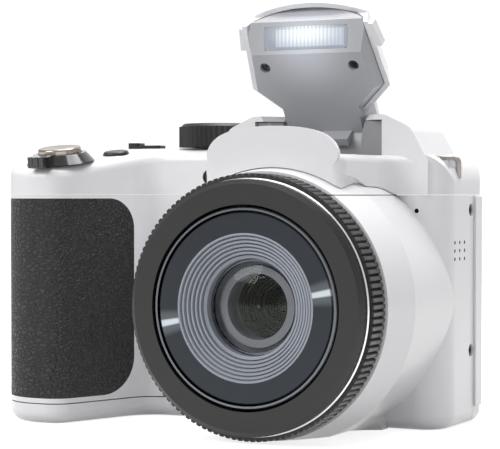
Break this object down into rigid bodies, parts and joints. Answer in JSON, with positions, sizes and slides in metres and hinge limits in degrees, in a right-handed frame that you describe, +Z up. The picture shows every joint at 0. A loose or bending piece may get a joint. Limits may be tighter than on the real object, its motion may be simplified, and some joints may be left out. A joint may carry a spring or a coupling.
{
  "type": "camera",
  "caption": "White bridge camera with a large black rubber grip, black ribbed lens ring, two-stage zoom lens, raised pop-up flash, mode dial, zoom lever and rear screen.",
  "frame": {"origin": "mouth of the tripod socket, in the plane of the base", "axes": "+Z up, the lens looks along -Y, the hand grip is at -X"},
  "size_m": [0.1176, 0.075, 0.1099],
  "materials": {
    "white": "smooth white plastic, satin gloss",
    "grip": "black leather-grained rubber",
    "black": "black satin plastic",
    "knurl": "black ribbed rubber",
    "grey": "mid-grey satin plastic",
    "lens_trim": "dark blue-grey satin metal paint",
    "bezel": "grey anodised",
    "optic": "coated lens glass",
    "clear": "clear ribbed plastic",
    "reflector": "polished reflector",
    "steel": "satin steel",
    "chrome": "bright silver-brown cap",
    "screen": "dark gloss window",
    "board": "green circuit board",
    "card": "blue-black card",
    "battery": "dark grey battery sleeve"
  },
  "bodies": {
    "body": {"grip_rubber": "grip", "front_shell": "white", "rear_shell": "white", "base_cover": "white", "battery_door_pin": "steel", "battery": "battery", "battery_chamber": "black", "memory_card": "card", "card_socket": "steel", "usb_socket": "steel", "top_cover": "white", "flash_well": "grey", "flash_hinge_pin": "steel", "front_ring": "black", "knurled_ring": "knurl", "lens_housing": "black", "image_sensor": "board", "zoom_motor": "steel", "chassis": "steel", "main_board": "board", "lcd_module": "black", "lcd_window": "screen", "button_board": "board", "speaker": "black", "microphone": "black", "focus_lamp": "black", "flash_capacitor": "black", "tripod_socket": "steel", "case_screws": "steel", "strap_lug_right": "steel", "strap_lug_left": "steel", "thumb_rest": "grip"},
    "flash_head": {"flash_housing": "grey", "flash_cover": "white", "flash_window": "clear", "flash_reflector": "reflector", "flash_tube": "clear", "flash_screws": "black"},
    "outer_stage": {"outer_barrel": "bezel", "middle_lens": "optic"},
    "inner_stage": {"inner_barrel": "lens_trim", "ridged_baffle": "lens_trim", "bezel_ring": "bezel", "front_glass": "optic"},
    "cam_ring": {"zoom_cam_ring": "black"},
    "focus_group": {"focus_lens": "optic"},
    "lever": {"zoom_lever": "black"},
    "shutter": {"shutter_button": "chrome"},
    "power": {"power_button": "black"},
    "drive": {"drive_button": "black"},
    "dial": {"mode_dial": "black"},
    "video": {"video_button": "black"},
    "menu": {"menu_button": "black"},
    "playback": {"playback_button": "black"},
    "display": {"display_button": "black"},
    "direction_pad": {"four_way_pad": "black"},
    "ok": {"ok_button": "black"},
    "base_door": {"battery_door": "white"},
    "side_door": {"port_cover": "black"}
  },
  "joints": [
    {"name": "flash_fold", "type": "hinge", "parent": "body", "child": "flash_head", "pos_m": [0, -0.0025, 0.0724], "axis": [1, 0, 0], "range_deg": [0, 56]},
    {"name": "zoom_stage_1", "type": "slide", "parent": "body", "child": "outer_stage", "axis": [0, -1, 0], "range_m": [0, 0.022]},
    {"name": "zoom_stage_2", "type": "slide", "parent": "outer_stage", "child": "inner_stage", "axis": [0, -1, 0], "range_m": [0, 0.022]},
    {"name": "cam_ring_turn", "type": "hinge", "parent": "body", "child": "cam_ring", "pos_m": [0, -0.03, 0.0328], "axis": [0, -1, 0], "range_deg": [0, 151.3]},
    {"name": "focus_slide", "type": "slide", "parent": "body", "child": "focus_group", "axis": [0, -1, 0], "range_m": [-0.001, 0.001]},
    {"name": "zoom_lever_turn", "type": "hinge", "parent": "body", "child": "lever", "pos_m": [-0.0659, -0.034, 0.06841], "axis": [0, -0.1591, 0.9873], "range_deg": [-18, 18], "stiffness_Nm_per_rad": 0.02},
    {"name": "shutter_press", "type": "slide", "parent": "body", "child": "shutter", "axis": [0, 0.1591, -0.9873], "range_m": [0, 0.0012], "stiffness_N_per_m": 700},
    {"name": "power_press", "type": "slide", "parent": "body", "child": "power", "axis": [0, 0.1591, -0.9873], "range_m": [0, 0.0006], "stiffness_N_per_m": 800},
    {"name": "drive_press", "type": "slide", "parent": "body", "child": "drive", "axis": [0, 0, -1], "range_m": [0, 0.0005], "stiffness_N_per_m": 800},
    {"name": "mode_dial_turn", "type": "hinge", "parent": "body", "child": "dial", "pos_m": [-0.035, -0.002, 0.0726], "axis": [0, 0, 1], "continuous": true},
    {"name": "battery_door_swing", "type": "hinge", "parent": "body", "child": "base_door", "pos_m": [-0.0695, 0.00215, 0.0008], "axis": [1, 0, 0], "range_deg": [0, 90]},
    {"name": "port_cover_swing", "type": "hinge", "parent": "body", "child": "side_door", "pos_m": [-0.082, -0.00335, 0.029], "axis": [0, 0, 1], "range_deg": [0, 100]},
    {"name": "video_press", "type": "slide", "parent": "body", "child": "video", "axis": [0, -1, 0], "range_m": [0, 0.0005], "stiffness_N_per_m": 800},
    {"name": "menu_press", "type": "slide", "parent": "body", "child": "menu", "axis": [0, -1, 0], "range_m": [0, 0.0005], "stiffness_N_per_m": 800},
    {"name": "playback_press", "type": "slide", "parent": "body", "child": "playback", "axis": [0, -1, 0], "range_m": [0, 0.0005], "stiffness_N_per_m": 800},
    {"name": "display_press", "type": "slide", "parent": "body", "child": "display", "axis": [0, -1, 0], "range_m": [0, 0.0005], "stiffness_N_per_m": 800},
    {"name": "direction_pad_press", "type": "slide", "parent": "body", "child": "direction_pad", "axis": [0, -1, 0], "range_m": [0, 0.0005], "stiffness_N_per_m": 800},
    {"name": "ok_press", "type": "slide", "parent": "body", "child": "ok", "axis": [0, -1, 0], "range_m": [0, 0.0005], "stiffness_N_per_m": 800}
  ],
  "couplings": [
    {"joint": "zoom_stage_2", "follows": "zoom_stage_1", "ratio": 1},
    {"joint": "cam_ring_turn", "follows": "zoom_stage_1", "rad_per_m": 119}
  ]
}
